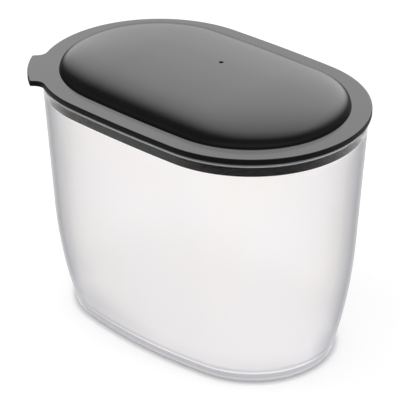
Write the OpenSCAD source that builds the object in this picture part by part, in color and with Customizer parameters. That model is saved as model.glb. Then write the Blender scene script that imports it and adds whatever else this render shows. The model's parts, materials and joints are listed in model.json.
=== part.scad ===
// Rice bin: a tapering oval tub with a lift-off lid.
// The outline is an oval: two straight long sides and two round ends.
// Every wall, edge and ledge is a parallel inset of that outline, so each piece is one
// profile of [inset, height] points that is drawn along the sides and turned round the ends.
// Origin: centre of the foot, on the table. X runs along the length, Z is up.

/* [Outline] */
// Length over the lid's rim, end to end
rim_l = 240; // [220:5:280]
// Width over the lid's rim
rim_w = 160; // [140:5:180]
// Height from the table to the flat band of the lid
band_h = 176.5; // [150:0.5:220]

/* [Lid] */
// Width of the flat band between the rim and the dome
band_w = 13.4; // [11:0.2:18]
// Height of the dome above the band
dome_h = 15; // [8:0.5:22]
// Radius of the level spot on the dome's crown
crown_r = 3; // [2:1:12]
// Thickness of the lid's plate and dome
lid_t = 2.2; // [1.6:0.1:3]
// Height of the rim's side, which turns down over the tub
edge_h = 3.8; // [3.6:0.1:5]
// Thickness of the turned-down edge
edge_t = 1.3; // [1:0.1:2]
// Diameter of the vent hole
vent_d = 3.2; // [2:0.1:5]
// Vent hole from the middle, along the length
vent_x = 7; // [-20:1:20]
// Vent hole from the middle, across the width
vent_y = 10; // [-20:1:20]

/* [Lifting tab] */
// How far the tab reaches past the rim
tab_reach = 7.8; // [5:0.2:12]
// Width of the tab
tab_w = 41; // [30:1:50]
// Direction of the tab, in degrees from the long axis
tab_dir = 44; // [30:1:60]
// Radius that runs the tab into the rim
tab_fillet_r = 7.5; // [4:0.5:10]
// Radius of the tab's outer corners
tab_corner_r = 1.5; // [0.5:0.5:4]

/* [Skirt and seal] */
// Depth of the skirt below the band
skirt_depth = 14; // [12.5:0.5:20]
// Thickness of the skirt
skirt_t = 1.8; // [1.4:0.1:2.4]
// Gap between the skirt and the tub's inner wall at the top
skirt_gap = 2.2; // [1.8:0.1:3]
// Height of each of the two ribs that hold the seal
rib_h = 0.8; // [0.6:0.1:1.2]
// How far the ribs stand out of the skirt
rib_out = 0.9; // [0.6:0.1:1.2]
// Height of the seal
seal_h = 4.4; // [3:0.1:6]
// Radius on the seal's outer edges
seal_r = 0.5; // [0.2:0.1:0.6]

/* [Tub] */
// Thickness of the tub's wall
wall_t = 2.4; // [1.8:0.1:3]
// Thickness of the floor
floor_t = 4; // [2.5:0.1:5]
// Rise of the underside inside the foot ring
foot_rise = 1.5; // [0.8:0.1:3]
// Width of the foot ring
foot_w = 5; // [3:0.5:10]
// Radius of the outer bottom edge
foot_r = 2; // [1:0.1:3]
// Radius between the floor and the inner wall
floor_r = 7; // [3:0.5:12]
// Slope of the straight upper wall, in degrees
wall_slope = 3.1; // [1:0.1:4]
// Height below which the wall curves in towards the foot
tuck_h = 75; // [50:5:100]
// Radius of that curve
tuck_r = 340; // [280:10:600]
// Radius on both edges of the mouth
mouth_r = 0.6; // [0.2:0.1:0.8]

/* [Fits] */
// Clearance between the tub's mouth and the lid's turned-down edge
rim_clear = 0.3; // [0.2:0.05:0.6]
// Clearance between the seal and the tub's inner wall
seal_clear = 0.3; // [0.2:0.05:0.5]
// Clearance of the seal on the skirt
seal_fit = 0.1; // [0.05:0.05:0.2]

/* [Hidden] */

// Oval outline
end_r = rim_w / 2;
end_c = rim_l / 2 - end_r;
round_fn = 180;
// Overshoot of a cut past the face it opens
cut = 1;
// The tab's fillets stop this short of the rim's tangent, and so end in a real edge
fillet_lip = 0.4;

// Heights
mouth_z = band_h - lid_t;
edge_z = band_h - edge_h;
skirt_z = band_h - skirt_depth;
seal_z = skirt_z + rib_h;
upper_rib_z = seal_z + seal_h + 2 * seal_fit;
floor_z = foot_rise + floor_t;

// Insets from the rim
mouth_in = edge_t + rim_clear;
skirt_out = mouth_in + wall_t + skirt_gap;
skirt_in = skirt_out + skirt_t;
dome_w = end_r - band_w - crown_r;
seal_out = wall_in(seal_z) + wall_t + seal_clear;

// Steps along the curved parts of a profile
wall_steps = 10;
dome_steps = 20;
edge_steps = 4;
corner_steps = 6;

// How far the lower wall has curved in at height z
function tuck(z) = tuck_r * (cos(wall_slope) - cos(asin(sin(wall_slope) + (tuck_h - z) / tuck_r)));

// Inset of the tub's outer wall at height z
function wall_in(z) =
    mouth_in + (mouth_z - max(z, tuck_h)) * tan(wall_slope) + (z < tuck_h ? tuck(z) : 0);

// Quarter turn of radius r about [inset, height] c, from angle a0 to a1
function turn(c, r, a0, a1, n) =
    [for (k = [0:n]) c + r * [cos(a0 + (a1 - a0) * k / n), sin(a0 + (a1 - a0) * k / n)]];

// Heights from z0 to z1 in equal steps
function climb(z0, z1, n) = [for (k = [0:n]) z0 + (z1 - z0) * k / n];

// Quarter ellipse of the dome: w wide, h high, from its crease at c
function crown(c, w, h) =
    [for (k = [0:dome_steps])
        let (a = 90 * k / dome_steps)
        c + [w * (1 - cos(a)), h * sin(a)]];

function backwards(pts) = [for (k = [len(pts) - 1:-1:0]) pts[k]];

// Draw a profile of [inset, height] points round the oval
module sweep(profile) {
    pts = [for (p = profile) [end_r - p[0], p[1]]];
    for (m = [0, 1])
        mirror([m, 0, 0]) {
            translate([end_c, 0, 0])
                rotate(-90)
                    rotate_extrude(angle = 180, $fn = round_fn)
                        polygon(pts);
            for (w = [0, 1])
                mirror([0, w, 0])
                    rotate([90, 0, 90])
                        linear_extrude(end_c)
                            polygon(pts);
        }
}

module tub() {
    foot_in = wall_in(foot_r) + foot_r;
    recess_in = foot_in + foot_w;
    corner_z = floor_z + floor_r;
    corner_in = wall_in(corner_z) + wall_t + floor_r;
    outer_low = [for (z = climb(foot_r, tuck_h, wall_steps)) if (z > foot_r) [wall_in(z), z]];
    inner_low = [for (z = climb(tuck_h, corner_z, wall_steps)) if (z > corner_z) [wall_in(z) + wall_t, z]];
    top_z = mouth_z - mouth_r;
    top_in = wall_in(top_z);
    color([0.88, 0.90, 0.92, 0.75])
        sweep(concat(
            [[end_r, foot_rise], [recess_in + foot_rise, foot_rise], [recess_in, 0]],
            turn([foot_in, foot_r], foot_r, 270, 180, edge_steps),
            outer_low,
            turn([top_in + mouth_r, top_z], mouth_r, 180, 90, edge_steps),
            turn([top_in + wall_t - mouth_r, top_z], mouth_r, 90, 0, edge_steps),
            inner_low,
            turn([corner_in, corner_z], floor_r, 180, 270, corner_steps),
            [[end_r, floor_z]]));
}

// Outline of the lifting tab, pointing along +X from the centre of the round end
module tab_outline() {
    out_r = end_r + tab_reach;
    half = tab_w / 2;
    corner_y = half - tab_corner_r;
    corner_x = sqrt(pow(out_r - tab_corner_r, 2) - corner_y * corner_y);
    arc_y = corner_y * out_r / (out_r - tab_corner_r);
    fillet_y = half + tab_fillet_r;
    fillet_x = sqrt(pow(end_r + tab_fillet_r, 2) - fillet_y * fillet_y);
    intersection() {
        circle(out_r, $fn = 2 * round_fn);
        translate([0, -arc_y])
            square([out_r + tab_reach, 2 * arc_y]);
    }
    translate([0, -half])
        square([corner_x, tab_w]);
    for (m = [0, 1])
        mirror([0, m]) {
            translate([corner_x, corner_y])
                circle(tab_corner_r, $fn = 32);
            difference() {
                polygon([[0, 0], [fillet_x, half], [fillet_x, fillet_y - fillet_lip]]);
                translate([fillet_x, fillet_y])
                    circle(tab_fillet_r, $fn = 64);
            }
        }
}

module tab() {
    translate([-end_c, 0, edge_z])
        rotate(180 + tab_dir)
            linear_extrude(edge_h)
                difference() {
                    tab_outline();
                    circle(end_r - edge_t / 2, $fn = round_fn);
                }
}

module lid() {
    rib_in = skirt_out - rib_out;
    upper_rib_top = upper_rib_z + rib_h;
    outside = concat([[0, edge_z], [0, band_h]], crown([band_w, band_h], dome_w, dome_h));
    inside = crown([band_w + lid_t, mouth_z], dome_w - lid_t, dome_h);
    skirt = [[skirt_in, mouth_z], [skirt_in, skirt_z], [rib_in, skirt_z], [rib_in, seal_z],
        [skirt_out, seal_z], [skirt_out, upper_rib_z], [rib_in, upper_rib_z],
        [rib_in, upper_rib_top], [skirt_out, upper_rib_top], [skirt_out, mouth_z]];
    color([0.27, 0.27, 0.28])
        difference() {
            union() {
                sweep(concat(
                    outside,
                    [[end_r, band_h + dome_h], [end_r, mouth_z + dome_h]],
                    backwards(inside),
                    skirt,
                    [[edge_t, mouth_z], [edge_t, edge_z]]));
                tab();
            }
            translate([vent_x, vent_y, band_h])
                cylinder(h = dome_h + lid_t, d = vent_d, $fn = 48);
        }
}

module seal_ring() {
    bore_in = skirt_out - seal_fit;
    seal_top = seal_z + seal_h;
    color([0.13, 0.13, 0.14])
        sweep(concat(
            turn([seal_out + seal_r, seal_z + seal_r], seal_r, 270, 180, edge_steps),
            turn([seal_out + seal_r, seal_top - seal_r], seal_r, 180, 90, edge_steps),
            [[bore_in, seal_top], [bore_in, seal_z]]));
}

tub();
lid();
seal_ring();
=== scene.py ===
"""Oval food bin: a translucent tub, a dark domed lid with a corner tab, and the seal on its skirt."""
import json
from math import asin, atan2, cos, pi, radians, sin, sqrt, tan

import bmesh
import bpy
from bpy.props import FloatProperty, FloatVectorProperty, PointerProperty
from bpy.types import Operator, Panel, PropertyGroup
from mathutils import Matrix, Vector

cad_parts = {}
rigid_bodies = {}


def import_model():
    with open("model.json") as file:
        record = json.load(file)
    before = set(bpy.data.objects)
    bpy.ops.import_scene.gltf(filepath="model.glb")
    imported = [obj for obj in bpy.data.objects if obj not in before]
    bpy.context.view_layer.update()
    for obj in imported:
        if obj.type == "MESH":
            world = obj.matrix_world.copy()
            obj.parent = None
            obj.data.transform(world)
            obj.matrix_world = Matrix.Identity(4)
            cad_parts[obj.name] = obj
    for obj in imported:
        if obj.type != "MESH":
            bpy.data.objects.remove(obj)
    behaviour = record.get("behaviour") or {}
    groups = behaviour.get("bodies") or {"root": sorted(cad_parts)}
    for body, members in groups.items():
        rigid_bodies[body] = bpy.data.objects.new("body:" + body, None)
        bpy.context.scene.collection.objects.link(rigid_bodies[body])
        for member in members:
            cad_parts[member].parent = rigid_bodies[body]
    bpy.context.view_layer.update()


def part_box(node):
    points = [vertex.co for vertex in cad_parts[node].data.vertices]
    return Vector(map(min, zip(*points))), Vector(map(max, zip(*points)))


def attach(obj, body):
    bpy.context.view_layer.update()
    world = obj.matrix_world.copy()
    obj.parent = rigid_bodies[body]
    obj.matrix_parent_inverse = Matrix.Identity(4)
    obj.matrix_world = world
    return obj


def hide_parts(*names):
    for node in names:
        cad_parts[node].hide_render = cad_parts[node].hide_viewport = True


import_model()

bl_info = {
    "name": "Oval food bin",
    "version": (1, 0, 0),
    "blender": (4, 5, 0),
    "location": "View3D > Sidebar > Food bin",
    "description": "Builds an oval translucent food bin with a domed lift-off lid",
    "category": "Add Mesh",
}

LID_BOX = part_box("lid")
TUB_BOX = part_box("tub")
SEAL_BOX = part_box("seal_ring")

MM = 0.001


# ---------------------------------------------------------------- sizes and finishes

BAND_HEIGHT = 0.1765
MOUTH = TUB_BOX[1][2]
SEAL_LOW, SEAL_HIGH = SEAL_BOX[0][2], SEAL_BOX[1][2]


def size(name, description, default):
    return FloatProperty(name=name, description=description, default=default, unit="LENGTH", precision=4)


def share(name, description, default):
    return FloatProperty(name=name, description=description, default=default, min=0.0, max=1.0)


def paint(name, description, default):
    return FloatVectorProperty(name=name, description=description, default=default, subtype="COLOR", size=3,
                               min=0.0, max=1.0)


class BinSizes(PropertyGroup):
    half_length: size("Half length", "Half of the rim's length", LID_BOX[1][0])
    half_width: size("Half width", "Half of the rim's width", LID_BOX[1][1])
    side_bow: size("Side bow", "How far the long sides bow out in the middle", 0.0008)
    band_height: size("Band height", "Height of the lid's flat band above the table", BAND_HEIGHT)
    band_width: size("Band width", "Width of the flat band between rim and dome", 0.0134)
    dome_height: size("Dome height", "Height of the dome above the band", LID_BOX[1][2] - BAND_HEIGHT)
    lid_wall: size("Lid thickness", "Thickness of the lid's plate and dome", 0.0022)
    rim_drop: size("Rim drop", "Height of the rim's side", 0.0038)
    rim_round: size("Rim rounding", "Radius on the rim's upper edge", 0.0007)
    tab_reach: size("Tab reach", "How far the lifting tab stands past the rim", 0.0078)
    tab_width: size("Tab width", "Width of the lifting tab", 0.041)
    tab_turn: FloatProperty(name="Tab direction", description="Direction of the tab from the long axis",
                            default=radians(44), subtype="ANGLE")
    vent: size("Vent hole", "Diameter of the vent hole in the dome", 0.0032)
    tub_wall: size("Tub wall", "Thickness of the tub's wall", 0.0024)
    floor_top: size("Floor height", "Height of the tub's floor above the table", 0.0055)


class BinFinish(PropertyGroup):
    tub_warm: paint("Tub warm tint", "The translucent plastic where it is warmest", (0.995, 0.977, 0.964))
    tub_cool: paint("Tub cool tint", "The translucent plastic where it is coolest", (0.99, 0.979, 0.987))
    # This dark colour also paints shade at the tub's mouth under the lid, and darkens the wall towards the
    # bottom
    tub_depth_and_shade: paint("Tub depth", "The plastic where the wall is seen edge-on", (0.19, 0.2, 0.24))
    tub_milk: paint("Tub milk", "The milky foot", (0.6, 0.59, 0.65))
    tub_frost: share("Tub frosting", "Roughness of the frosted walls", 0.26)
    lid_colour: paint("Lid colour", "The dark satin plastic", (0.008, 0.008, 0.0083))
    lid_satin: share("Lid roughness", "Roughness of the dark satin plastic", 0.2)
    seal_colour: paint("Seal colour", "The soft seal", (0.009, 0.009, 0.0095))
    floor_colour: paint("Floor colour", "The floor under the bin", (0.9, 0.9, 0.9))


# ---------------------------------------------------------------- shader expressions

class Wire:
    """A node socket that takes part in Python arithmetic."""

    def __init__(self, tree, socket):
        self.tree, self.socket = tree, socket

    def _maths(self, operation, *values):
        return self.tree.add("ShaderNodeMath", {"operation": operation}, dict(enumerate(values)))

    def __add__(self, other):
        return self._maths("ADD", self, other)

    def __radd__(self, other):
        return self._maths("ADD", other, self)

    def __sub__(self, other):
        return self._maths("SUBTRACT", self, other)

    def __rsub__(self, other):
        return self._maths("SUBTRACT", other, self)

    def __mul__(self, other):
        return self._maths("MULTIPLY", self, other)

    def __rmul__(self, other):
        return self._maths("MULTIPLY", other, self)

    def maximum(self, other):
        return self._maths("MAXIMUM", self, other)


class Tree:
    """The nodes of one material or world."""

    def __init__(self, owner):
        owner.use_nodes = True
        self.nodes, self.links = owner.node_tree.nodes, owner.node_tree.links
        self.nodes.clear()

    def add(self, kind, settings=None, inputs=None, output=0):
        """One node: its settings first, then the values or wires of its sockets."""
        node = self.nodes.new(kind)
        for key, value in (settings or {}).items():
            if key == "stops":
                ramp = node.color_ramp
                while len(ramp.elements) < len(value):
                    ramp.elements.new(1.0)
                for element, (place, colour) in zip(ramp.elements, value):
                    element.position, element.color = place, colour
            else:
                setattr(node, key, value)
        for key, value in (inputs or {}).items():
            if isinstance(value, Wire):
                self.links.new(value.socket, node.inputs[key])
            else:
                node.inputs[key].default_value = value
        return Wire(self, node.outputs[output]) if node.outputs else node

    def place(self):
        """Object coordinates."""
        return self.add("ShaderNodeTexCoord", output="Object")

    def height(self):
        return self.add("ShaderNodeSeparateXYZ", None, {0: self.place()}, "Z")

    def upward(self):
        """How far a face looks up: 1 up, 0 sideways, -1 down."""
        normal = self.add("ShaderNodeTexCoord", output="Normal")
        return self.add("ShaderNodeSeparateXYZ", None, {0: normal}, "Z")

    def edge_on(self):
        """How edge-on a face is seen: 0 square on, 1 along it."""
        return self.add("ShaderNodeLayerWeight", None, {"Blend": 0.5}, "Facing")

    def ray(self, kind):
        """1 for rays of one kind, such as Is Shadow Ray."""
        return self.add("ShaderNodeLightPath", output=kind)

    def noise(self, grain, detail=2.0):
        """Soft noise from 0 to 1, in grains of that size."""
        return self.add("ShaderNodeTexNoise", None,
                        {"Vector": self.place(), "Scale": 1 / grain, "Detail": detail})

    def bump(self, grain, distance, strength):
        return self.add("ShaderNodeBump", None,
                        {"Strength": strength, "Distance": distance, "Height": self.noise(grain)})

    def spread(self, value, low, high, start=0.0, stop=1.0):
        """value from low..high, spread over start..stop."""
        return self.add("ShaderNodeMapRange", None, {0: value, 1: low, 2: high, 3: start, 4: stop})

    def above(self, value, change):
        """1 above a change, which is its (low, high) places, and 0 below it."""
        return self.spread(value, change[0], change[1])

    def below(self, value, change):
        return self.spread(value, change[1], change[0])

    def ramp(self, value, stops):
        """value looked up on a curve of (place, level) stops."""
        colours = [(place, grey(k)) for place, k in stops]
        return self.add("ShaderNodeValToRGB", {"stops": colours}, {0: value})

    def blend(self, factor, one, two, how="MIX"):
        """Mix of two colours."""
        return self.add("ShaderNodeMix", {"data_type": "RGBA", "blend_type": how},
                        {0: factor, 6: one, 7: two}, 2)

    def lean(self, vector, direction):
        """How far a vector runs along a direction."""
        return self.add("ShaderNodeVectorMath", {"operation": "DOT_PRODUCT"},
                        {0: vector, 1: direction}, "Value")

    def cover(self, factor, under, over):
        """Mix of two shaders."""
        return self.add("ShaderNodeMixShader", None, {0: factor, 1: under, 2: over})

    def principled(self, inputs):
        return self.add("ShaderNodeBsdfPrincipled", None, inputs)

    def clear(self, colour):
        return self.add("ShaderNodeBsdfTransparent", None, {"Color": colour})

    def surface(self, shader, kind="ShaderNodeOutputMaterial"):
        self.add(kind, None, {"Surface": shader})


def rgba(colour, k=1.0):
    return (colour[0] * k, colour[1] * k, colour[2] * k, 1.0)


def grey(k):
    return (k, k, k, 1.0)


# ---------------------------------------------------------------- the three plastics

# Changes up the tub, each between two heights
FROST_START = (0.0071, 0.0076)
FOOT_END = (0.0072, 0.0080)
# Painted highlight: a light line round the foot, from the first pair of heights to the second
LIGHT_LINE_START, LIGHT_LINE_END = (0.0014, 0.0022), (0.0030, 0.0042)
FLOOR_END = (0.0125, 0.0135)
FOOT_GREY_END, LOW_GREY_END = (0.009, 0.024), (0.02, 0.045)
SEAL_START = (0.1615, 0.1635)
LIP_START, LIP_END = (0.1697, 0.1701), (0.1707, 0.1711)

# Depth of the plastic by how edge-on the wall is seen
EDGE_DEPTH = (
    (0.54, 0.0), (0.6, 0.15), (0.65, 0.34), (0.7, 0.58), (0.76, 0.92), (0.82, 0.85), (0.875, 0.35),
    (0.94, 0.1))

# How dark the depth is at the wall's edges, how dark the painted shade is at the mouth, and how much darker
# the foot is
EDGE_DARK, MOUTH_PAINTED_SHADE, FOOT_DARK = 0.92, 0.8, 0.13

# How milky the foot and the lip are, how clear the inner floor is, and how much light passes to the shadow
FOOT_MILK, LIP_MILK, FLOOR_CLEAR, SHADOW_CLEAR = 0.75, 0.62, 0.9, 0.9

# Bending of light in the clear and in the frosted plastic
CLEAR_IOR, FROST_IOR = 1.49, 1.38

LIP_TINT, FLOOR_TINT, SEAL_TINT = (0.68, 0.68, 0.68), (0.97, 0.96, 0.965), (0.03, 0.031, 0.035)


def tub_depth_and_shade(t, height, edge_on):
    """How much of the wall turns dark: with its depth where it is seen edge-on, at the seal, with painted
    shade at the mouth under the lid's rim, and towards the bottom.
    """
    sides = t.ramp(edge_on, EDGE_DEPTH) * EDGE_DARK
    seal = t.above(height, SEAL_START) * t.spread(edge_on, 0.45, 0.7, 0.0, 0.6)
    # Painted shade: the mouth above the lip is darkened as if the lid's rim shaded it
    mouth = t.above(height, LIP_END) * MOUTH_PAINTED_SHADE
    # Darker towards the bottom: low down where the wall is seen edge-on, and a little all round the foot
    low = t.below(height, LOW_GREY_END) * t.spread(edge_on, 0.48, 0.72, 0.0, 0.8)
    foot = t.below(height, FOOT_GREY_END) * FOOT_DARK
    return sides.maximum(seal).maximum(mouth).maximum(low).maximum(foot)


def tub_plastic(finish):
    """Natural translucent plastic: frosted walls, clear round the seal, with a milky lip and foot."""
    mat = bpy.data.materials.new("translucent_plastic")
    t = Tree(mat)
    height, upward, edge_on = t.height(), t.upward(), t.edge_on()
    lip = t.above(height, LIP_START) * t.below(height, LIP_END)
    frost = (t.above(height, FROST_START) * t.below(height, SEAL_START)).maximum(lip)
    bump = t.bump(grain=0.0012, distance=0.00003, strength=0.1)
    rough = frost * ((t.noise(0.02) - 0.5) * 0.05 + finish.tub_frost) + 0.05

    def plastic(colour, passes=1.0, shine=1.0, bend=CLEAR_IOR):
        return t.principled({
            "Base Color": colour, "Roughness": rough, "IOR": bend, "Transmission Weight": passes,
            "Specular Tint": grey(shine), "Normal": bump})

    # The wall: two tints in a soft cloud, darker where it is seen through its depth, with painted shade at
    # the mouth, and darker towards the bottom
    cloud = t.spread(t.noise(0.06), 0.35, 0.65)
    tint = t.blend(cloud, rgba(finish.tub_warm), rgba(finish.tub_cool))
    skin = t.cover(frost, plastic(tint, shine=0.2), plastic(tint, shine=0.1, bend=FROST_IOR))
    wall = t.cover(tub_depth_and_shade(t, height, edge_on), skin, plastic(rgba(finish.tub_depth_and_shade)))
    # The inner floor and its corner are mostly clear
    inside = t.below(height, FLOOR_END) * t.spread(upward, 0.02, 0.1)
    wall = t.cover(inside * FLOOR_CLEAR, wall, t.clear(rgba(FLOOR_TINT)))
    # Seen edge-on, the band at the seal takes on its dark
    seal_end = t.above(height, SEAL_START) * t.spread(edge_on, 0.6, 0.85, 0.0, 0.25)
    wall = t.cover(seal_end, wall, plastic(rgba(SEAL_TINT), passes=0.0, shine=0.5))
    # The lip and the foot are milky, with a painted highlight: a light line round the foot
    painted_light_line = t.blend(t.above(height, LIGHT_LINE_START) * t.below(height, LIGHT_LINE_END), grey(0.9), grey(1.2))
    milk_and_light_line = t.blend(1.0, rgba(finish.tub_milk, 0.94), painted_light_line, "MULTIPLY")
    milk = plastic(t.blend(lip, milk_and_light_line, rgba(LIP_TINT)), passes=0.0)
    foot = t.below(height, FOOT_END) * t.spread(upward * upward, 0.6, 0.4)
    ring = foot * (1 - t.ray("Is Transmission Ray")) * FOOT_MILK
    body = t.cover(ring.maximum(lip * LIP_MILK), wall, milk)
    # The tub casts only a faint shadow
    t.surface(t.cover(t.ray("Is Shadow Ray") * SHADOW_CLEAR, body, t.clear(grey(0.97))))
    return mat


# Satin of the lid by how far a face looks up
LID_POLISH = ((0.1, 0.0), (0.3, 0.07), (0.56, 0.07), (0.68, 0.03), (0.75, 0.06), (0.88, 1.0))

# Where the dome starts over the band, and how much of it the band's mirror leaves out
DOME_START, DOME_CLEAR = (BAND_HEIGHT + 0.2 * MM, BAND_HEIGHT + 0.5 * MM), 0.88


def lid_plastic(finish):
    """Dark moulded plastic: satin on the faces that look up, matt on the steep ones."""
    mat = bpy.data.materials.new("charcoal_satin_plastic")
    t = Tree(mat)
    mottle = t.spread(t.noise(0.03, 3.0), 0.3, 0.7)
    colour = t.blend(mottle, rgba(finish.lid_colour, 0.9), rgba(finish.lid_colour, 1.1))
    wear = (t.noise(0.015, 3.0) - 0.5) * 0.06
    bump = t.bump(grain=0.0007, distance=0.00008, strength=0.1)
    satin = t.principled({
        "Base Color": colour, "Roughness": wear + finish.lid_satin, "IOR": 1.5,
        "Coat Weight": 1.0, "Coat Roughness": 0.12, "Coat IOR": 1.5, "Normal": bump})
    matt = t.principled({
        "Base Color": colour, "Roughness": wear + 0.45, "IOR": 1.5,
        "Specular IOR Level": 0.08, "Normal": bump})
    body = t.cover(t.ramp(t.upward(), LID_POLISH), matt, satin)
    dome = t.above(t.height(), DOME_START)
    t.surface(t.cover(t.ray("Is Glossy Ray") * dome * DOME_CLEAR, body, t.clear(grey(1.0))))
    return mat


def seal_rubber(finish):
    """Soft dark ring with a dusty matt skin."""
    mat = bpy.data.materials.new("soft_seal")
    t = Tree(mat)
    dust = t.spread(t.noise(0.004, 3.0), 0.35, 0.75)
    t.surface(t.principled({
        "Base Color": t.blend(dust, rgba(finish.seal_colour), rgba(finish.seal_colour, 1.6)),
        "Roughness": 0.55 + dust * 0.15, "IOR": 1.45, "Specular IOR Level": 0.12,
        "Normal": t.bump(grain=0.0009, distance=0.0001, strength=0.2)}))
    return mat


# ---------------------------------------------------------------- modelling steps

END_STEPS, SIDE_STEPS = 72, 12

# Vertices nearer than this are one place, and a seam is merged over twice that
SAME_PLACE = 1e-6


class Oval:
    """Four tangent arcs: two bowed long sides and two round ends."""

    def __init__(self, half_l, half_w, side_r):
        self.half_l, self.half_w = half_l, half_w
        self.end_r = (half_l ** 2 + half_w ** 2 - 2 * half_w * side_r) / (2 * (half_l - side_r))
        self.end_c = half_l - self.end_r
        self.side_c = side_r - half_w
        self.side_a = atan2(self.end_c, self.side_c)
        self.end_a = pi - 2 * self.side_a

    def start(self, inset, z):
        """Where the near side meets the right end."""
        r = self.end_r - inset
        return Vector((self.end_c + r * cos(self.end_a / 2), -r * sin(self.end_a / 2), z))

    def outside(self, p):
        """How far a place lies outside the outline."""
        x, y = abs(p.x), abs(p.y)
        if x > self.end_c + self.end_r * sin(self.side_a):
            return sqrt((x - self.end_c) ** 2 + y * y) - self.end_r
        return sqrt(x * x + (y + self.side_c) ** 2) - self.side_c - self.half_w

    def arcs(self, z, stops=()):
        """Centre, angle and steps of the arcs, from that place round. stops split the left end."""
        yield (self.end_c, 0, z), self.end_a, END_STEPS
        yield (0, -self.side_c, z), 2 * self.side_a, SIDE_STEPS
        turns = [pi / 2 + self.side_a, *stops, 3 * pi / 2 - self.side_a]
        for one, two in zip(turns, turns[1:]):
            yield (-self.end_c, 0, z), two - one, max(round(END_STEPS * (two - one) / self.end_a), 2)
        yield (0, self.side_c, z), 2 * self.side_a, SIDE_STEPS


def new_piece(name):
    """An empty mesh object in edit mode."""
    if bpy.context.mode != "OBJECT":
        bpy.ops.object.mode_set(mode="OBJECT")
    bpy.ops.object.select_all(action="DESELECT")
    bpy.ops.mesh.primitive_plane_add(size=0.01, location=(0, 0, 0))
    obj = bpy.context.object
    obj.name = obj.data.name = name
    bpy.ops.object.mode_set(mode="EDIT")
    bpy.ops.mesh.delete(type="VERT")
    bpy.ops.mesh.select_mode(type="VERT")
    return obj


def choose(rule):
    """Select the vertices whose place a rule picks, and what they hold between them."""
    data = bpy.context.object.data
    mesh = bmesh.from_edit_mesh(data)
    bpy.ops.mesh.select_all(action="DESELECT")
    for v in mesh.verts:
        v.select = rule(v.co)
    mesh.select_flush(True)
    bmesh.update_edit_mesh(data)


def dot(place):
    """One vertex."""
    bpy.ops.mesh.select_all(action="DESELECT")
    bpy.ops.mesh.primitive_plane_add(size=0.01, location=place)
    bpy.ops.mesh.merge(type="CENTER")


def run(move):
    bpy.ops.mesh.extrude_region_move(TRANSFORM_OT_translate={"value": tuple(move)})


def resize(length, width):
    bpy.ops.transform.resize(value=(length, width, 1), center_override=(0, 0, 0))


def arc(centre, angle, steps):
    """Spin what is selected, anticlockwise seen from above."""
    bpy.ops.mesh.spin(steps=steps, angle=-angle, center=centre, axis=(0, 0, 1))


def merge_all(distance):
    bpy.ops.mesh.select_all(action="SELECT")
    bpy.ops.mesh.remove_doubles(threshold=distance)


def loop(oval, z):
    """One closed loop of an oval, left selected."""
    dot(oval.start(0, z))
    for centre, angle, steps in oval.arcs(z):
        arc(centre, angle, steps)
    bpy.ops.mesh.select_linked()
    bpy.ops.mesh.remove_doubles(threshold=SAME_PLACE)


def grow(oval, inset, rise):
    """Extrude the selected loop of an oval to a further inset and up."""
    run((0, 0, rise))
    was = (oval.half_l, oval.half_w)
    oval.half_l, oval.half_w = oval.half_l - inset, oval.half_w - inset
    resize(oval.half_l / was[0], oval.half_w / was[1])


def draw_profile(oval, points):
    """A chain of vertices through [inset, height] points, where the near side meets the right end."""
    places = [oval.start(*p) for p in points]
    dot(places[0])
    for one, two in zip(places, places[1:]):
        run(two - one)


def sweep(oval, points, closed=False, stops=()):
    """Spin a profile round all the arcs of an oval."""
    draw_profile(oval, points)
    bpy.ops.mesh.select_all(action="SELECT")
    if closed:
        bpy.ops.mesh.edge_face_add()
        bpy.ops.mesh.delete(type="ONLY_FACE")
        bpy.ops.mesh.select_all(action="SELECT")
    for centre, angle, steps in oval.arcs(0, stops):
        arc(centre, angle, steps)
    merge_all(2 * SAME_PLACE)


def cap(z):
    """Close the open loop at height z."""
    bpy.ops.mesh.select_all(action="DESELECT")
    data = bpy.context.object.data
    mesh = bmesh.from_edit_mesh(data)
    for edge in mesh.edges:
        if edge.is_boundary and all(abs(v.co.z - z) < SAME_PLACE for v in edge.verts):
            edge.select_set(True)
    bmesh.update_edit_mesh(data)
    bpy.ops.mesh.edge_face_add()


def turned(c, r, a0, a1, n):
    """Points of an arc of radius r about (inset, height) c, between two angles in degrees."""
    angles = [radians(a0 + (a1 - a0) * k / n) for k in range(n + 1)]
    return [(c[0] + r * cos(a), c[1] + r * sin(a)) for a in angles]


def finish_piece(obj, node, body, material):
    """Smooth, paint and hang a piece on its body in place of its node."""
    bpy.ops.mesh.select_all(action="SELECT")
    bpy.ops.mesh.normals_make_consistent(inside=False)
    bpy.ops.object.mode_set(mode="OBJECT")
    activate(obj)
    bpy.ops.object.shade_smooth_by_angle(angle=radians(32), keep_sharp_edges=True)
    obj.data.materials.clear()
    obj.data.materials.append(material)
    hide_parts(node)
    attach(obj, body)


def activate(obj):
    """Select one object alone and make it the active one."""
    bpy.ops.object.select_all(action="DESELECT")
    obj.select_set(True)
    bpy.context.view_layer.objects.active = obj


# ---------------------------------------------------------------- the tub

# Radius of the long sides at the foot and at the mouth, and how much further in they are at the foot
FOOT_BOW_R, MOUTH_BOW_R, FOOT_NARROW = 0.33, 1.1, 0.088

# The outer wall: its inset at the mouth, its slope, the height below which it curves in, and on what radius
MOUTH_INSET, SLOPE, TUCK_Z, TUCK_R = 1.8 * MM, radians(3.16), 0.0773, 0.376

# Radii of the foot's edge, the lip's edges and the floor's corner
FOOT_R, LIP_R, FLOOR_R = 2 * MM, 0.9 * MM, 7 * MM

# The ring that the tub stands on, the bevel inside it, and the rise of the underside
RING_W, RING_BEVEL_W, RING_BEVEL_H, RECESS = 4.8 * MM, 0.5 * MM, 0.3 * MM, 1.5 * MM

WALL_STEPS = 25


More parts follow.
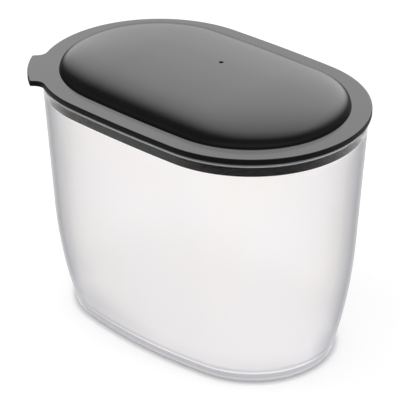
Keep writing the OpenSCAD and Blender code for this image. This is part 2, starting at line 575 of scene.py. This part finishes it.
def wall_inset(z):
    """Inset of the tub's outer wall from the rim at height z."""
    straight = MOUTH_INSET + (MOUTH - max(z, TUCK_Z)) * tan(SLOPE)
    if z >= TUCK_Z:
        return straight
    return straight + TUCK_R * (cos(SLOPE) - cos(asin(sin(SLOPE) + (TUCK_Z - z) / TUCK_R)))


def tub_oval(sizes, z, inset=0.0):
    """The tub's outline at height z: rounder and a little narrower towards the foot."""
    low = 1 - z / MOUTH
    out = wall_inset(z)
    side_r = 1 / ((1 - low) / MOUTH_BOW_R + low / FOOT_BOW_R)
    half_w = sizes.half_width - out * (1 + FOOT_NARROW * low)
    return Oval(sizes.half_length - out - inset, half_w - inset, side_r - inset)


class BIN_OT_tub(Operator):
    """Build the translucent tub: outer wall, lip, inner wall, floor and foot ring"""
    bl_idname = "bin.tub"
    bl_label = "Tub"

    def execute(self, context):
        self.sizes = context.scene.bin_sizes
        obj = new_piece("tub_shell")
        thick, floor = self.sizes.tub_wall, self.sizes.floor_top
        top, low = MOUTH - LIP_R, floor + FLOOR_R
        self.wall(FOOT_R, top, 0.0)
        self.follow(FOOT_R, 0.0, self.underside())
        cap(RECESS)
        lip = turned((LIP_R, top), LIP_R, 180, 90, 4) + turned((thick - LIP_R, top), LIP_R, 90, 0, 4)
        self.follow(top, 0.0, lip)
        self.wall(low, top, thick)
        corner = turned((thick + FLOOR_R, low), FLOOR_R, 180, 270, 8)
        self.follow(low, thick, corner + [(thick + FLOOR_R + 1 * MM, floor)])
        cap(floor)
        finish_piece(obj, "tub", "bin", tub_plastic(context.scene.bin_finish))
        return {"FINISHED"}

    def underside(self):
        """The foot's round edge, the ring and the bevel up to the recess."""
        ring = FOOT_R + RING_W
        recess_in = FOOT_R + 5 * MM + RECESS
        return turned((FOOT_R, FOOT_R), FOOT_R, 180, 270, 5) + [
            (ring, 0), (ring + RING_BEVEL_W, RING_BEVEL_H), (recess_in, RECESS), (recess_in + 1 * MM, RECESS)]

    def wall(self, low, top, inset):
        """One face of the wall: a loop at each end, bridged, and each loop between set to its size."""
        first, last = tub_oval(self.sizes, low, inset), tub_oval(self.sizes, top, inset)
        loop(first, low)
        if not inset:
            loop(last, top)
        choose(lambda p: abs(p.z - low) < SAME_PLACE or self.on_loop(p, top, inset))
        bpy.ops.mesh.bridge_edge_loops(number_cuts=WALL_STEPS, interpolation="LINEAR")
        for k in range(1, WALL_STEPS + 1):
            t = k / (WALL_STEPS + 1)
            z = low + (top - low) * t
            want = tub_oval(self.sizes, z, inset)
            choose(lambda p: abs(p.z - z) < SAME_PLACE)
            resize(want.half_l / (first.half_l + (last.half_l - first.half_l) * t),
                   want.half_w / (first.half_w + (last.half_w - first.half_w) * t))

    def on_loop(self, p, z, inset):
        """Whether a vertex is on the wall's outer or inner loop at height z."""
        return abs(p.z - z) < SAME_PLACE and abs(tub_oval(self.sizes, z, inset).outside(p)) < 1 * MM

    def follow(self, z, inset, points):
        """Carry on from the wall's loop at height z through [inset, height] points."""
        choose(lambda p: self.on_loop(p, z, inset))
        oval = tub_oval(self.sizes, z, inset)
        for one, two in zip(points, points[1:]):
            grow(oval, two[0] - one[0], two[1] - one[1])


# ---------------------------------------------------------------- the lid

# Half width of the level spot on the dome, and the radius between dome and band
CROWN_R, CREASE_R = 3 * MM, 0.2 * MM

# The turned-down edge's thickness, the radius under it, and how far in from the rim the tab is rooted
EDGE_T, EDGE_R, TAB_ROOT = 1.3 * MM, 0.4 * MM, 1.0 * MM

# The skirt's outer and inner face, its two ribs, and the gap over the seal
SKIRT_OUT, SKIRT_IN, RIB_H, RIB_OUT, SEAL_GAP = 6.2 * MM, 8 * MM, 0.8 * MM, 0.9 * MM, 0.2 * MM

# Bevel on the lid's hidden edges, and where the skirt's inner face meets the plate
BEVEL, ROOT_BEVEL = 0.4 * MM, 0.5 * MM

# Loops that keep the band level beside the dome and the rim, and the rim's side upright
DOME_LOOP, RIM_LOOP, SIDE_LOOP = 1 * MM, 2.2 * MM, 0.3 * MM

# The vent hole from the middle of the dome
VENT_PLACE = (7 * MM, 10 * MM)

DOME_STEPS, DOME_INNER_STEPS = 24, 18


def rim_oval(sizes):
    """The lid's outline: the ends' radius and the sides' bow give the radius of the long sides."""
    end_r = sizes.half_width - sizes.side_bow
    end_c = sizes.half_length - end_r
    side_r = end_r + (end_c ** 2 + sizes.side_bow ** 2) / (2 * sizes.side_bow)
    return Oval(sizes.half_length, sizes.half_width, side_r)


def dome_curve(start, width, rise, steps):
    """Quarter ellipse of [inset, height] points from the dome's crease to its crown."""
    angles = [pi / 2 * k / steps for k in range(steps + 1)]
    return [(start[0] + width * (1 - cos(a)), start[1] + rise * sin(a)) for a in angles]


def lid_top(sizes, dome_w):
    """The dome from its crown down, its crease, and the band as far as the tab's root."""
    band, crease = sizes.band_height, sizes.band_width
    dome = dome_curve((crease, band), dome_w, sizes.dome_height, DOME_STEPS)
    dome = [p for p in dome if p[1] > band + CREASE_R + 0.5 * MM]
    foot = turned((crease - CREASE_R, band + CREASE_R), CREASE_R, 0, -90, 3)
    return dome[::-1] + foot + [(crease - CREASE_R - DOME_LOOP, band), (RIM_LOOP, band), (TAB_ROOT, band)]


def lid_rim(sizes):
    """The rim's side with its two round edges, down to the tab's root underneath."""
    band, upper = sizes.band_height, sizes.rim_round
    low = band - sizes.rim_drop
    side = turned((upper, band - upper), upper, 90, 180, 4) + [(0, low + EDGE_R + SIDE_LOOP)]
    return side + turned((EDGE_R, low + EDGE_R), EDGE_R, 180, 270, 3) + [(TAB_ROOT, low)]


def lid_inside(sizes, dome_w):
    """The edge's inner side, the plate, the skirt with its ribs, and the dome's inside up to its crown."""
    low, wall = sizes.band_height - sizes.rim_drop, sizes.lid_wall
    plate = sizes.band_height - wall
    crease = sizes.band_width + wall
    skirt_low, seal_high, rib = SEAL_LOW - RIB_H, SEAL_HIGH + SEAL_GAP, SKIRT_OUT - RIB_OUT
    edge = [(EDGE_T, low + SIDE_LOOP), (EDGE_T, plate - BEVEL), (EDGE_T + BEVEL, plate)]
    outer = [(SKIRT_OUT - BEVEL, plate), (SKIRT_OUT, plate - BEVEL),
             (SKIRT_OUT, seal_high + RIB_H), (rib, seal_high + RIB_H),
             (rib, seal_high), (SKIRT_OUT, seal_high),
             (SKIRT_OUT, skirt_low + RIB_H), (rib, skirt_low + RIB_H), (rib, skirt_low)]
    inner = [(SKIRT_IN - BEVEL, skirt_low), (SKIRT_IN, skirt_low + BEVEL),
             (SKIRT_IN, plate - ROOT_BEVEL), (SKIRT_IN + ROOT_BEVEL, plate), (crease - 0.6 * MM, plate)]
    dome = dome_curve((crease, plate), dome_w - wall, sizes.dome_height, DOME_INNER_STEPS)
    return edge + outer + inner + dome[1:]


class BIN_OT_lid(Operator):
    """Build the lid: dome, flat band, rim with its tab, turned-down edge and ribbed skirt"""
    bl_idname = "bin.lid"
    bl_label = "Lid"

    def execute(self, context):
        sizes = context.scene.bin_sizes
        obj = new_piece("lid_shell")
        oval = rim_oval(sizes)
        dome_w = oval.end_r - sizes.band_width - CROWN_R
        profile = lid_top(sizes, dome_w) + lid_rim(sizes) + lid_inside(sizes, dome_w)
        tab = TabShape(oval, sizes)
        sweep(oval, profile, stops=(tab.turn - tab.zone, tab.turn + tab.zone))
        cap(profile[0][1])
        cap(profile[-1][1])
        tab.build(sizes.band_height - sizes.rim_drop, sizes.band_height)
        self.drill(obj, sizes.vent)
        finish_piece(obj, "lid", "lid", lid_plastic(context.scene.bin_finish))
        return {"FINISHED"}

    def drill(self, obj, width):
        """Cut the vent hole through the dome."""
        bpy.ops.object.mode_set(mode="OBJECT")
        bpy.ops.object.select_all(action="DESELECT")
        bpy.ops.mesh.primitive_cylinder_add(vertices=40, radius=width / 2, depth=0.04,
                                            location=(*VENT_PLACE, LID_BOX[1][2]))
        cutter = bpy.context.object
        bpy.ops.object.transform_apply(location=True, rotation=True, scale=True)
        activate(obj)
        cut = obj.modifiers.new("vent", "BOOLEAN")
        cut.operation, cut.solver, cut.object = "DIFFERENCE", "EXACT", cutter
        bpy.ops.object.modifier_apply(modifier="vent")
        bpy.data.objects.remove(cutter)
        bpy.ops.object.mode_set(mode="EDIT")


class TabShape:
    """The lifting tab, drawn from arcs. Its own X runs from the round end's centre out through the tab."""
    FILLET_R, CORNER_R = 7.5 * MM, 1.5 * MM
    FILLET_STEPS, CORNER_STEPS, FRONT_STEPS = 8, 6, 14
    # Slack in angle and in distance when vertices of the rim are picked
    SLACK, NEAR = 1e-4, 1e-5

    def __init__(self, oval, sizes):
        self.turn = pi + sizes.tab_turn
        self.centre = Vector((-oval.end_c, 0, 0))
        self.root_r = oval.end_r - TAB_ROOT
        outer, half = oval.end_r + sizes.tab_reach, sizes.tab_width / 2
        self.corner_y = half - self.CORNER_R
        self.corner_x = sqrt((outer - self.CORNER_R) ** 2 - self.corner_y ** 2)
        self.fillet_y = half + self.FILLET_R
        self.fillet_x = sqrt((oval.end_r + self.FILLET_R) ** 2 - self.fillet_y ** 2)
        self.corner_a = atan2(self.corner_y, self.corner_x)
        self.zone = atan2(self.fillet_y, self.fillet_x)

    def at(self, x, y):
        c, s = cos(self.turn), sin(self.turn)
        return self.centre + Vector((c * x - s * y, s * x + c * y, 0))

    def polar(self, p):
        """Distance from the end's centre, and angle from the tab's middle."""
        x, y = p.x - self.centre.x, p.y
        return sqrt(x * x + y * y), (atan2(y, x) - self.turn + pi) % (2 * pi) - pi

    def build(self, low, band):
        """Open the rim where the tab stands, take its section round the tab, and close top and underside."""
        def in_zone(p, slack):
            r, a = self.polar(p)
            in_height = low - SAME_PLACE < p.z < band + SAME_PLACE
            return in_height and r > self.root_r - self.NEAR and abs(a) < self.zone + slack

        choose(lambda p: in_zone(p, self.SLACK))
        bpy.ops.mesh.delete(type="ONLY_FACE")
        choose(lambda p: in_zone(p, -self.SLACK) and self.polar(p)[0] > self.root_r + self.NEAR)
        bpy.ops.mesh.delete(type="VERT")
        choose(lambda p: in_zone(p, self.SLACK) and abs(self.polar(p)[1] + self.zone) < self.SLACK)
        self.spin_out()
        merge_all(2 * SAME_PLACE)
        cap(band)
        cap(low)

    def spin_out(self):
        """Take the selected section round the tab: fillet, side, corner, front, corner, side and fillet."""
        side = (self.at(1, 0) - self.centre) * (self.corner_x - self.fillet_x)
        fillet_a, corner_a = self.zone - pi / 2, pi / 2 - self.corner_a
        arc(self.at(self.fillet_x, -self.fillet_y), fillet_a, self.FILLET_STEPS)
        run(side)
        arc(self.at(self.corner_x, -self.corner_y), corner_a, self.CORNER_STEPS)
        arc(self.centre, 2 * self.corner_a, self.FRONT_STEPS)
        arc(self.at(self.corner_x, self.corner_y), corner_a, self.CORNER_STEPS)
        run(-side)
        arc(self.at(self.fillet_x, self.fillet_y), fillet_a, self.FILLET_STEPS)


# ---------------------------------------------------------------- the seal

# Radius of the seal's edges, and its outer and inner face
SEAL_R, SEAL_FACE, SEAL_BORE = 0.5 * MM, 5.05 * MM, 6.15 * MM


class BIN_OT_seal(Operator):
    """Build the soft seal round the lid's skirt"""
    bl_idname = "bin.seal"
    bl_label = "Seal"

    def execute(self, context):
        obj = new_piece("seal_band")
        edge = SEAL_FACE + SEAL_R
        points = turned((edge, SEAL_LOW + SEAL_R), SEAL_R, 270, 180, 4)
        points += turned((edge, SEAL_HIGH - SEAL_R), SEAL_R, 180, 90, 4)
        points += [(SEAL_BORE, SEAL_HIGH), (SEAL_BORE, SEAL_LOW)]
        sweep(rim_oval(context.scene.bin_sizes), points, closed=True)
        finish_piece(obj, "seal_ring", "lid", seal_rubber(context.scene.bin_finish))
        return {"FINISHED"}


# ---------------------------------------------------------------- the stage

# The camera: its direction round and down, its place and its lens on a square sensor
VIEW_TURN, VIEW_TILT = radians(42.66), radians(28.64)
VIEW_PLACE = (0.8762, -0.9537, 0.7975)
LENS, SENSOR = 196.8, 36

# The studio is laid out along these level directions
BACK = Vector((-sin(VIEW_TURN), cos(VIEW_TURN), 0))
RIGHT = Vector((cos(VIEW_TURN), sin(VIEW_TURN), 0))

FLOOR_SIZE = 12

# Name, place, width and power of the lamps, and the place they aim at
LAMPS = (("key", (-0.9, -0.7, 1.6), 1.2, 5), ("fill", (1.5, 0.2, 0.9), 1.0, 5))
LAMP_AIM = (0, 0, 0.08)

# The light of the soft wall behind the bin: by how far a ray leans back, and its left and right end
WALL_DEPTH = (
    (-0.15, 0.03), (0.03, 0.27), (0.26, 0.55), (0.36, 0.78), (0.62, 0.97), (0.78, 0.98), (0.9, 0.82),
    (0.95, 0.74), (1.0, 0.52))
WALL_LEFT = (
    (-0.4, 0.03), (-0.27, 0.25), (-0.21, 0.45), (-0.15, 0.62), (-0.1, 0.78), (-0.05, 0.87), (0.05, 1.0))
WALL_RIGHT = ((0.42, 1.0), (0.62, 0.48), (0.78, 0.16))

# The glow on the other three sides: by how far a ray leans back, and by how far it leans left
FRONT_GLOW = ((-0.98, 0.5), (-0.88, 0.75), (-0.6, 0.75), (-0.45, 0.3), (-0.28, 0.0))
SIDE_GLOW = (
    (-0.95, 0.5), (-0.8, 0.45), (-0.7, 0.25), (-0.62, 0.0), (0.7, 0.0), (0.78, 0.25), (0.86, 0.45),
    (0.95, 0.5))

# Strength of the wall, of the soft light on matt faces, and of the white that is seen
WALL_POWER, SOFT_POWER, WHITE_POWER = 1.35, 0.7, 1.0

# To gloss, the floor is lit between these places, near and far
FLOOR_NEAR, FLOOR_FAR = (-0.36, -0.14), (0.25, 0.6)


def floor_paper(finish):
    """Pale paper that keeps shadows, with painted contact shade from ambient occlusion round the tub's foot.
    It is white through the plastic, and to gloss it is dark far out.
    """
    mat = bpy.data.materials.new("pale_floor")
    t = Tree(mat)

    def glow(colour, strength=1.0):
        return t.add("ShaderNodeEmission", None, {"Color": colour, "Strength": strength})

    paper_and_contact_shade = t.blend(t.noise(0.05), rgba(finish.floor_colour), rgba(finish.floor_colour, 1.01))
    # Painted contact shade: ambient occlusion darkens the paper's colour within 5 mm of the tub
    crease = t.add("ShaderNodeAmbientOcclusion", {"samples": 8}, {"Distance": 0.005}, "AO")
    paper_and_contact_shade = t.blend(0.75, paper_and_contact_shade, crease, "MULTIPLY")
    paper = t.add("ShaderNodeBsdfDiffuse", None, {"Color": paper_and_contact_shade})
    lit = t.add("ShaderNodeAddShader", None, {0: paper, 1: glow(paper_and_contact_shade, 0.35)})
    face = t.cover(t.ray("Is Camera Ray"), paper, lit)
    back = t.lean(t.place(), BACK)
    shade = t.spread(back, *FLOOR_NEAR, 0.04, 1.0) * t.spread(back, *FLOOR_FAR, 1.0, 0.3)
    face = t.cover(t.ray("Is Glossy Ray"), face, glow(t.blend(shade, grey(0.0), grey(1.0))))
    t.surface(t.cover(t.ray("Is Transmission Ray"), face, glow(grey(1.0))))
    return mat


def studio_world():
    """White to the eye. To gloss, a soft wall behind the bin, and a dark room with a weaker glow round it."""
    world = bpy.data.worlds.new("studio")
    t = Tree(world)
    ray = t.add("ShaderNodeTexCoord", output="Generated")

    def along(direction, stops):
        """Light by how far the ray leans along a direction, from -1 to 1."""
        return t.ramp(t.lean(ray, direction) * 0.5 + 0.5, [((lean + 1) / 2, k) for lean, k in stops])

    def light(colour, strength):
        return t.add("ShaderNodeBackground", None, {"Color": colour, "Strength": strength})

    width = t.blend(1.0, along(RIGHT + BACK * 0.25, WALL_LEFT), along(RIGHT, WALL_RIGHT), "MULTIPLY")
    room = t.blend(1.0, along(BACK, WALL_DEPTH), width, "MULTIPLY")
    height = t.add("ShaderNodeSeparateXYZ", None, {0: ray}, "Z")
    rise = t.spread(height, 0.1, 0.5, 0.15, 1.0)
    for glow in (along(BACK, FRONT_GLOW), along(-RIGHT, SIDE_GLOW)):
        room = t.blend(rise, room, glow, "LIGHTEN")
    shown = t.cover(t.ray("Is Glossy Ray"), light(grey(1.0), SOFT_POWER), light(room, WALL_POWER))
    seen = t.ray("Is Camera Ray").maximum(t.ray("Is Transmission Ray"))
    t.surface(t.cover(seen, shown, light(grey(1.0), WHITE_POWER)), "ShaderNodeOutputWorld")
    return world


def lamp(name, place, extent, power):
    """A round soft lamp that gloss doesn't show."""
    data = bpy.data.lights.new(name, "AREA")
    data.shape, data.size, data.energy = "DISK", extent, power
    obj = bpy.data.objects.new(name, data)
    obj.location = place
    obj.rotation_euler = (Vector(LAMP_AIM) - Vector(place)).to_track_quat("-Z", "Y").to_euler()
    obj.visible_glossy = False
    bpy.context.collection.objects.link(obj)


def view():
    """The camera, turned and tilted as the named angles say."""
    data = bpy.data.cameras.new("view")
    data.sensor_width = data.sensor_height = SENSOR
    data.sensor_fit = "HORIZONTAL"
    data.lens = LENS
    camera = bpy.data.objects.new("view", data)
    back = Vector((sin(VIEW_TURN) * cos(VIEW_TILT), -cos(VIEW_TURN) * cos(VIEW_TILT), sin(VIEW_TILT)))
    right = Vector((0, 0, 1)).cross(back).normalized()
    turn = Matrix((right, back.cross(right), back)).transposed().to_4x4()
    camera.matrix_world = Matrix.Translation(VIEW_PLACE) @ turn
    bpy.context.collection.objects.link(camera)
    return camera


class BIN_OT_stage(Operator):
    """Build the floor, the lights, the world and the camera"""
    bl_idname = "bin.stage"
    bl_label = "Stage"

    def execute(self, context):
        scene = context.scene
        bpy.ops.object.select_all(action="DESELECT")
        bpy.ops.mesh.primitive_plane_add(size=FLOOR_SIZE, location=(0, 0, 0))
        floor = context.object
        floor.name = floor.data.name = "floor"
        floor.data.materials.append(floor_paper(scene.bin_finish))
        scene.world = studio_world()
        for name, place, extent, power in LAMPS:
            lamp(name, place, extent, power)
        scene.camera = view()
        scene.view_settings.view_transform = "Standard"
        return {"FINISHED"}


# ---------------------------------------------------------------- add-on

class BIN_PT_panel(Panel):
    """Lists the pieces that can be built"""
    bl_idname = "BIN_PT_panel"
    bl_label = "Food bin"
    bl_space_type = "VIEW_3D"
    bl_region_type = "UI"
    bl_category = "Food bin"

    def draw(self, context):
        for group in (context.scene.bin_sizes, context.scene.bin_finish):
            box = self.layout.box()
            for name in group.__annotations__:
                box.prop(group, name)
        for operator in OPERATORS:
            self.layout.operator(operator.bl_idname)


OPERATORS = (BIN_OT_tub, BIN_OT_lid, BIN_OT_seal, BIN_OT_stage)
CLASSES = (BinSizes, BinFinish) + OPERATORS + (BIN_PT_panel,)


def register():
    for cls in CLASSES:
        bpy.utils.register_class(cls)
    bpy.types.Scene.bin_sizes = PointerProperty(type=BinSizes)
    bpy.types.Scene.bin_finish = PointerProperty(type=BinFinish)


def unregister():
    del bpy.types.Scene.bin_finish
    del bpy.types.Scene.bin_sizes
    for cls in reversed(CLASSES):
        bpy.utils.unregister_class(cls)


def main():
    register()
    bpy.ops.bin.tub()
    bpy.ops.bin.lid()
    bpy.ops.bin.seal()
    bpy.ops.bin.stage()


if __name__ == "__main__":
    main()
